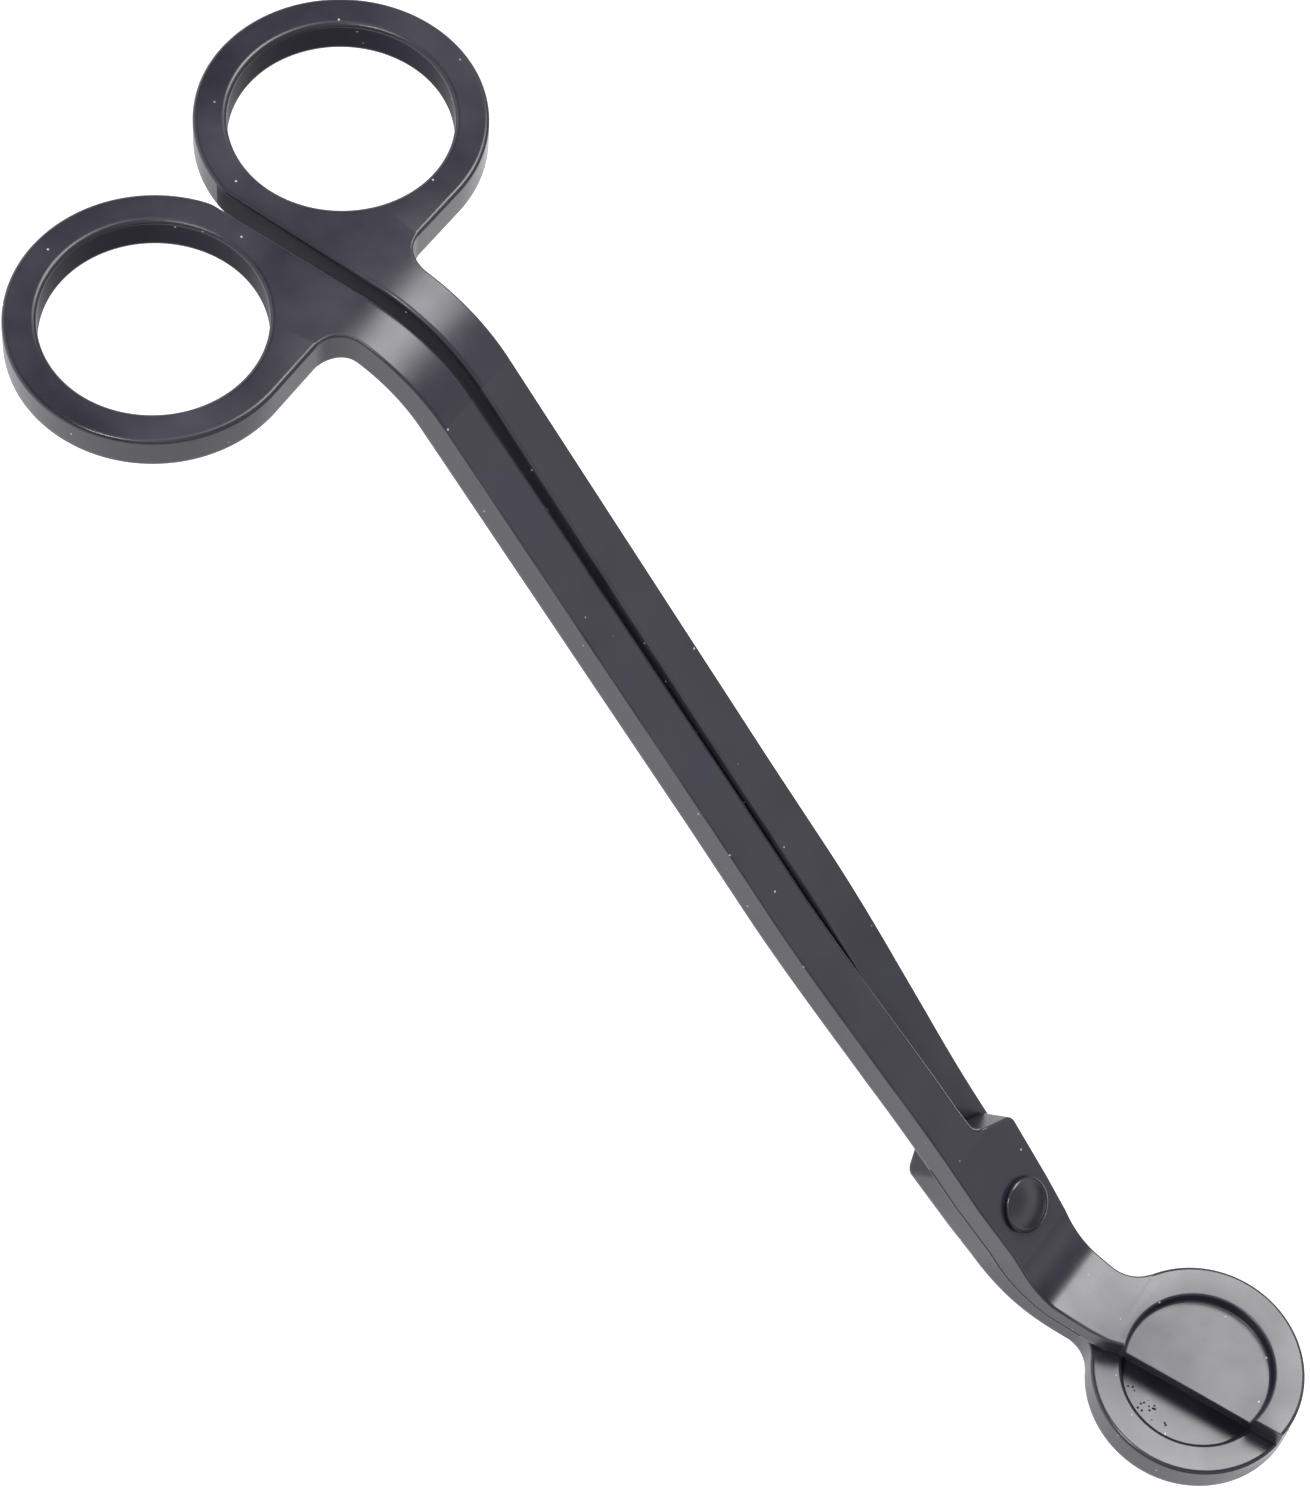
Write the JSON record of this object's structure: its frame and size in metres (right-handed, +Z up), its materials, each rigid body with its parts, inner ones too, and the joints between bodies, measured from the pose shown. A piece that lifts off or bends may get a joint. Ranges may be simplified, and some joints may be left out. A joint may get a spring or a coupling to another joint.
{
  "type": "wick trimmer",
  "caption": "Scissor-action wick trimmer for candles: two cranked black levers on a rivet, with finger rings at one end and a round cutting head with a debris tray at the other.",
  "frame": {"origin": "on the surface that the trimmer lies on, under the centre of its box", "axes": "+X from the finger rings to the cutting head, +Y towards the rear lever's ring, +Z up; the trimmer lies with its tray facing up"},
  "size_m": [0.1778, 0.057, 0.0253],
  "materials": {
    "lever_coating": "satin black coating",
    "rivet_coating": "satin black coating, a little glossier"
  },
  "bodies": {
    "front_half": {"front_lever": "lever_coating", "pivot_rivet": "rivet_coating"},
    "rear_half": {"rear_lever": "lever_coating"}
  },
  "joints": [
    {"name": "rivet_pivot", "type": "hinge", "parent": "front_half", "child": "rear_half", "pos_m": [0.05255, 0, 0.00512], "axis": [-0.166, 0, -0.9861], "range_deg": [0, 35]}
  ]
}
